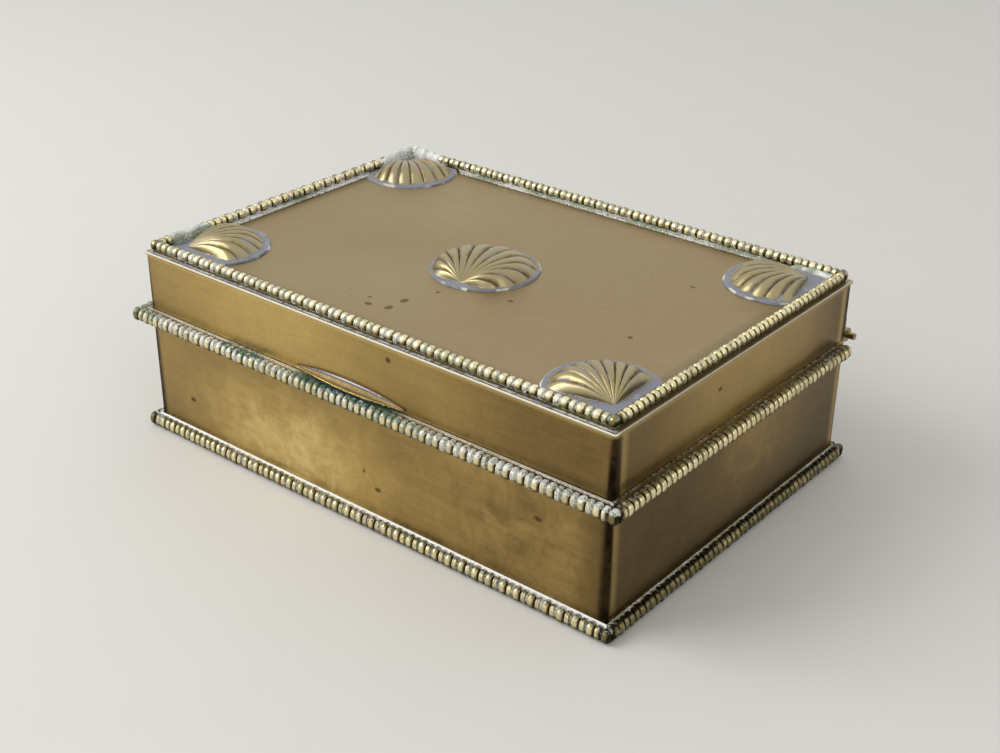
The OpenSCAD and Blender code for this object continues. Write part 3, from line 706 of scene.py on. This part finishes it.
# A strip on the lid: beads on a narrow foot, and a flat strip inwards that stops round the corner shells
def lidMoulding(sideName, side, number):
    s = lidStrip
    quarter = side % 180 == 0
    run, across = (frameLength, frameWidth) if quarter else (frameWidth, frameLength)
    foot = [(s["foot"], 0), (s["foot"], s["thick"]), (-s["foot"], s["thick"]), (-s["foot"], 0)]
    rings, _ = barPart(foot, lambda y: (-run / 2 + y, run / 2 - y), s["seed"] + number, 0.2)
    parts = [closedTube(rings, hollow=np.full(rings.shape[:2], 0.7), paste=np.full(rings.shape[:2], 0.4))]
    radius = shellKinds["corner"]["radius"] + s["gap"]

    # Where the flat strip meets the circle round a corner shell
    def stopAt(y, end):
        front = side == 0 or (side == 90 and end < 0) or (side == -90 and end > 0)
        along = shellPlace["inSide"] if quarter else shellPlace["inFront" if front else "inSide"]
        alongInset = s["inset"] if quarter or not front else s["insetFront"]
        inwards = (shellPlace["inFront"] - s["insetFront"]) if side == 0 else shellPlace["inSide"] - s["inset"]
        middle = run / 2 - (along - alongInset)
        return middle - np.sqrt(np.maximum(radius ** 2 - (inwards - np.clip(y, 0, s["width"])) ** 2, 0))

    flat = [(s["width"], 0), (s["width"], s["thick"]), (0, s["thick"]), (0, 0)]
    rings, profile = barPart(flat, lambda y: (-stopAt(y, -1), stopAt(y, 1)), s["seed"] + 10 + number, 0.25)
    near = step(profile[:, 0], 2.6, 1.6)
    parts.append(closedTube(rings, hollow=np.broadcast_to(0.35 + 0.3 * near, rings.shape[:2]),
                            paste=np.broadcast_to(0.62 + 0.2 * near, rings.shape[:2])))
    corner = run / 2 + beadShape["half"] if quarter else run / 2 - cornerGap
    points, quads, triangles, fields = beadRow(run, s["seed"] + 5 * number, s["highlightAngle"][sideName], s["bead"],
                                               s["crust"], shades["lid"][sideName], -corner, corner)
    # The beads' lower part is darkened as painted shade and takes residue; the grooves take residue too
    low = 1 - step(points[:, 2], -1.4, -0.3)
    grooves = step(fields["hollow"], 0.35, 0.85) * step(points[:, 2], -0.2, 1.0)
    fields["hollow"] = np.maximum(fields["hollow"], 0.9 * low)
    fields["paste"] = residue[sideName] * np.clip(0.7 * low + 0.6 * grooves + fields["paste"], 0, 0.9)
    parts.append((points + np.array([0, 0, s["bead"][1]]), quads, triangles, fields))
    for end in (-1, 1):
        begin, reach, *ridge = ridges[sideName, end]
        outer = end * (run / 2 - begin)
        parts.append(residueRidge(outer, outer - end * reach, ridge, s["seed"] + 30 + number + 4 * end))
    shift = np.array(turned((0, -across / 2, 0), side)) + np.array([0, frameY, lidTop])
    return [placed(part, side, shift) for part in parts]


for number, (sideName, side) in enumerate(sides.items()):
    makePiece("lid_beading_" + sideName, lidMoulding(sideName, side, number), mouldingBrass, "lid",
              "lid_moulding_" + sideName)
print("lid mouldings made")


# A scallop: each direction a round its root, clockwise from its axis, gives a line of points to the outline,
# which is a circle cut by the straight edges. The dome rises from the root, falls steeply to a flat rim, and
# has a furrow between every two lobes. Outside the rim, polish residue tapers down to the plate. edges holds the
# direction of each straight edge and its distance from the centre.
def shellPart(kind, edges, seed):
    s = dict(shellShape, **shellKinds[kind])
    fan = np.linspace(-s["fan"], s["fan"], s["lobes"] * s["lobeSteps"] + 1)
    behind = np.linspace(s["fan"], 360 - s["fan"], int((360 - 2 * s["fan"]) / s["backStep"]) + 2)[1:-1]
    a = np.concatenate([fan, behind])
    ar = np.radians(a)
    circle = s["root"] * np.cos(ar) + np.sqrt(s["radius"] ** 2 - (s["root"] * np.sin(ar)) ** 2)
    reach = circle
    for edge, gap in edges:
        edge = math.radians(edge)
        lean = np.cos(ar - edge)
        room = gap + s["root"] * math.cos(edge)
        reach = np.minimum(reach, np.where(lean > 0.01, room / np.maximum(lean, 0.01), circle))
    f = np.linspace(0.02, 1, s["ringSteps"])[:, None] ** 0.85
    rise = np.sin(np.pi / 2 * np.minimum(f / s["peak"], 1))
    fall = np.cos(np.pi / 2 * (np.maximum(0, f - s["peak"]) / (1 - s["peak"])) ** 1.6)
    inFan = np.abs(a) < s["fan"]
    side = np.where(inFan, np.cos(np.pi / 2 * np.minimum(np.abs(a) / s["fan"], 1) ** 3), 0)
    lobe = np.abs(np.sin(np.pi * (a + s["fan"]) / (2 * s["fan"]) * s["lobes"]))
    valley = np.where(inFan, 1 - lobe ** s["narrow"], 0)
    dome = np.maximum(s["dome"] * rise * fall * side - s["furrow"] * valley * np.minimum(1, 1.6 * f), 0)
    spread = s["spread"] * (0.5 + 0.5 * waves(np.stack([30 * np.sin(ar), 30 * np.cos(ar), 0 * ar], -1), 9, seed))
    spread = np.where(reach < circle - 0.3, 0.05, spread)
    inner = reach - s["flange"]
    rimReach = np.stack([inner + 0.3 * s["flange"], inner + 0.7 * s["flange"], reach - 0.15, reach,
                         reach + 0.1 * spread, reach + spread, reach + spread])
    rimHeight = np.array([*s["lip"] * np.array([1, 1, 1, 0.75, 0.35]), 0.1, 0.0])[:, None]
    distance = np.concatenate([f * inner, rimReach])
    height = np.concatenate([s["lip"] + dome, np.broadcast_to(rimHeight, rimReach.shape)])
    rings = np.stack([distance * np.sin(ar), distance * np.cos(ar) - s["root"], height], axis=-1)
    onRim = (distance > inner + 0.01) & (distance <= reach + 0.01)
    rings[..., 2] += np.where(onRim, 0.06 * waves(rings, 5, seed), 0)
    lobes = np.broadcast_to(inFan, dome.shape) * step(dome, 0.0, 0.3)
    flat = 1 - lobes
    furrows = valley * step(f, 0.1, 0.5)
    hollow = np.concatenate([lobes * 0.95 * furrows + 0.35 * flat, np.full(rimReach.shape, 0.35)])
    broken = 0.6 + 0.5 * waves(rings[:len(f)], 7, seed + 3)
    behindRoot = step(np.abs((a + 180) % 360 - 180), s["fan"], s["fan"] + 25)
    flangePaste = 0.6 + 0.14 * behindRoot
    paste = np.concatenate([np.maximum(s["furrowPaste"] * furrows * broken, flangePaste * flat),
                            np.broadcast_to(flangePaste, rimReach.shape)])
    paste[len(f) + 2:] = 0.78 + 0.17 * step(waves(rings[len(f) + 2:], 9, seed + 5), -0.3, 0.4)
    return closedTube(rings, hollow=np.clip(hollow, 0, 1), paste=np.clip(paste, 0, 1))


shellBrass = trimBrass("shellBrass", shellLook)
cornerX = boxLength / 2 - shellPlace["inSide"]
backY, frontY = boxWidth / 2 - shellPlace["inSide"], shellPlace["inFront"] - boxWidth / 2
fanTurn = shellShape["turn"]
# Centre, turn, and how far the shell was soldered off its place towards the left and the back
cornerShells = {"front_left": (-cornerX, frontY, -45, 2.0, 0.0), "front_right": (cornerX, frontY, 45, 0.0, 0.0),
                "back_left": (-cornerX, backY, -135, 2.4, 0.4), "back_right": (cornerX, backY, 135, 0.0, 0.0)}
for number, (place, (x, y, turn, left, back)) in enumerate(cornerShells.items()):
    moved = (left, 0) if place == "back_left" else (0, left)
    edges = [(135 + fanTurn, cornerReach - moved[0]), (fanTurn - 135, cornerReach - moved[1] - back)]
    part = placed(shellPart("corner", edges, 80 + number), turn + fanTurn, (x - left, y + back, lidTop))
    makePiece("scallop_" + place, [part], shellBrass, "lid", "shell_" + place)
middlePart = placed(shellPart("middle", [], 90), fanTurn, (0, -shellPlace["middleShift"], lidTop))
makePiece("scallop_middle", [middlePart], shellBrass, "lid", "shell_middle")
print("shells made")


liftShape = {"height": 3.2, "out": 3.6, "thick": 0.6, "rise": 1.1, "end": 0.24, "turn": math.radians(75),
             "steps": 70, "flare": 14}


# The thumb lift: a sheet that leaves the lid wall along an arc and flares outwards to a bowed lip.
# Across the sheet a loop goes down its outer face and back up its inner face. A pale stripe under its upper edge
# is a painted reflection, and the lip is bright with a painted highlight.
def liftPart():
    s = liftShape
    low, high = boxOf("thumb_lift")
    width = high[0] - low[0]
    u = np.linspace(-1, 1, s["steps"])[:, None]
    v = np.linspace(0, 1, s["flare"])
    bend = s["turn"] * np.concatenate([v, v[::-1]])
    thick = np.concatenate([np.full(len(v), s["thick"]), np.zeros(len(v))])
    bow = s["end"] + (1 - s["end"]) * (1 - u * u)
    drop = s["height"] * bow * np.sin(bend) / math.sin(s["turn"])
    out = (s["out"] - s["thick"]) * bow * (1 - np.cos(bend)) / (1 - math.cos(s["turn"]))
    x = np.broadcast_to(u * width / 2, out.shape) + (low[0] + high[0]) / 2
    y = wallLow[1] - out - thick * np.cos(bend)
    z = lidLow + s["rise"] + s["height"] * bow - drop + thick * np.sin(bend)
    rings = np.stack([x, y, z], axis=-1)
    # The bright lip is a painted highlight and the pale stripe below the upper edge a painted reflection
    lip = step(v, 0.9, 1.0)
    hollow = 0.6 - 0.6 * np.concatenate([lip, lip[::-1]])
    stripe = step(v, 0.02, 0.12) * (1 - step(v, 0.2, 0.34))
    paste = np.concatenate([stripe, np.zeros(len(v))]) * (0.5 + 0.5 * (1 - u * u))
    return closedTube(rings, hollow=hollow, paste=paste)


liftBrass = trimBrass("liftBrass", liftLook)
makePiece("thumb_lift_sheet", [liftPart()], liftBrass, "lid", "thumb_lift")
print("thumb lift made")


# Gives a CAD node another material
def dress(node, material):
    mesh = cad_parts[node].data
    mesh.materials.clear()
    mesh.materials.append(material)


hingeBrass = trimBrass("hingeBrass", hingeLook)
for node in ("hinge_leaf_body", "hinge_leaf_lid", "hinge_pin"):
    dress(node, hingeBrass)
dress("base_plate", bodyBrass)


woodLook = {"ring": 2.4, "light": screenColour(158, 104, 62), "dark": screenColour(108, 64, 36),
            "rough": (0.55, 0.72), "pore": 0.35}


# Thin cedar: rings stretched along the board and fine dark pores
def cedar(name, stretch):
    t = newMaterial(name)
    grain = t.noise(woodLook["ring"], 5.0, 0.6, stretch=stretch, warp=1.2)
    pores = t.noise(woodLook["pore"], 2.0, 0.5, stretch=stretch)
    colour = t.mix(t.band(grain, 0.32, 0.68), woodLook["dark"], woodLook["light"])
    colour = t.mix(t.math("MULTIPLY", t.band(pores, 0.58, 0.7), 0.5), colour, woodLook["dark"])
    rough = t.band(grain, 0.3, 0.7, *woodLook["rough"])
    return t.finish(colour, rough, 0.0, [(grain, 0.03), (pores, 0.02)])


cedarLong, cedarShort = cedar("cedarAlongTheBox", (0.06, 1, 1)), cedar("cedarAcrossTheBox", (1, 0.06, 1))
for node in ("lining_floor", "lining_front", "lining_back", "lid_lining"):
    dress(node, cedarLong)
for node in ("lining_left", "lining_right"):
    dress(node, cedarShort)
print("hinge and lining dressed")


# backdrop is the strength away from and towards the bright direction, reach where it starts and stops growing
studio = {"floor": (222, 220, 214), "floorReach": 6.0, "worldLight": 0.6, "backdrop": (0.55, 1.0),
          "bright": (-0.55, 0.1, 0.83), "reach": (-0.7, 0.5),
          "key": {"place": (-0.75, -0.65, 0.85), "size": 0.9, "power": 10.0},
          "fill": {"place": (0.9, -0.35, 0.55), "size": 0.6, "power": 1.0}}


def floorAndWorld():
    r = studio["floorReach"]
    mesh = bpy.data.meshes.new("floor")
    mesh.from_pydata([(-r, -r, 0), (r, -r, 0), (r, r, 0), (-r, r, 0)], [], [(0, 1, 2, 3)])
    floor = bpy.data.objects.new("floor", mesh)
    bpy.context.collection.objects.link(floor)
    t = newMaterial("paleFloor")
    tone = t.mix(t.noise(30, 3.0), screenColour(*studio["floor"]), screenColour(*[c - 3 for c in studio["floor"]]))
    mesh.materials.append(t.finish(tone, 0.7, 0.0, []))
    world = bpy.data.worlds.new("paleRoom")
    bpy.context.scene.world = world
    t = Tree(world)
    path = t.add("ShaderNodeLightPath").outputs
    shiny = t.math("MAXIMUM", path["Is Glossy Ray"], path["Is Transmission Ray"])
    seen = t.math("MAXIMUM", path["Is Camera Ray"], shiny)
    toBright = t.vector("DOT_PRODUCT", t.coordinates["Generated"], studio["bright"])
    backdrop = t.band(toBright.outputs["Value"], *studio["reach"], *studio["backdrop"])
    background = t.nodes["Background"].inputs
    t.put(background["Color"], (1, 1, 1, 1))
    t.put(background["Strength"], t.band(seen, 0, 1, studio["worldLight"], backdrop))


def softLight(name, light):
    data = bpy.data.lights.new(name, "AREA")
    data.shape = "SQUARE"
    data.size = light["size"]
    data.energy = light["power"]
    lamp = bpy.data.objects.new(name, data)
    bpy.context.collection.objects.link(lamp)
    lamp.location = light["place"]
    lamp.rotation_euler = (Vector((0, 0, 0.03)) - lamp.location).to_track_quat("-Z", "Y").to_euler()


# The photograph's camera: azimuth from the front towards the right, elevation, roll, distance and framing
camera = {"azimuth": 38.983, "elevation": 27.391, "roll": 0.609, "distance": 522.5, "right": 2.755, "up": -12.312,
          "aim": 39.70, "focalPixels": 1490.7, "imageWidth": 1000}


def placeCamera():
    c = camera
    a, e, r = (math.radians(c[key]) for key in ("azimuth", "elevation", "roll"))
    back = Vector((math.sin(a) * math.cos(e), -math.cos(a) * math.cos(e), math.sin(e)))
    right = Vector((math.cos(a), math.sin(a), 0))
    up = back.cross(right)
    place = back * c["distance"] + right * c["right"] + up * c["up"] + Vector((0, 0, c["aim"]))
    rolledRight = right * math.cos(r) + up * math.sin(r)
    rolledUp = up * math.cos(r) - right * math.sin(r)
    data = bpy.data.cameras.new("photoCamera")
    data.sensor_width = 36
    data.lens = c["focalPixels"] * data.sensor_width / c["imageWidth"]
    data.clip_start, data.clip_end = 0.01, 50
    eye = bpy.data.objects.new("photoCamera", data)
    bpy.context.collection.objects.link(eye)
    turn = Matrix((rolledRight, rolledUp, back)).transposed().to_4x4()
    eye.matrix_world = Matrix.Translation(place * mm) @ turn
    bpy.context.scene.camera = eye


floorAndWorld()
softLight("keyLight", studio["key"])
softLight("fillLight", studio["fill"])
placeCamera()
bpy.context.scene.view_settings.view_transform = "Standard"
print("studio ready")
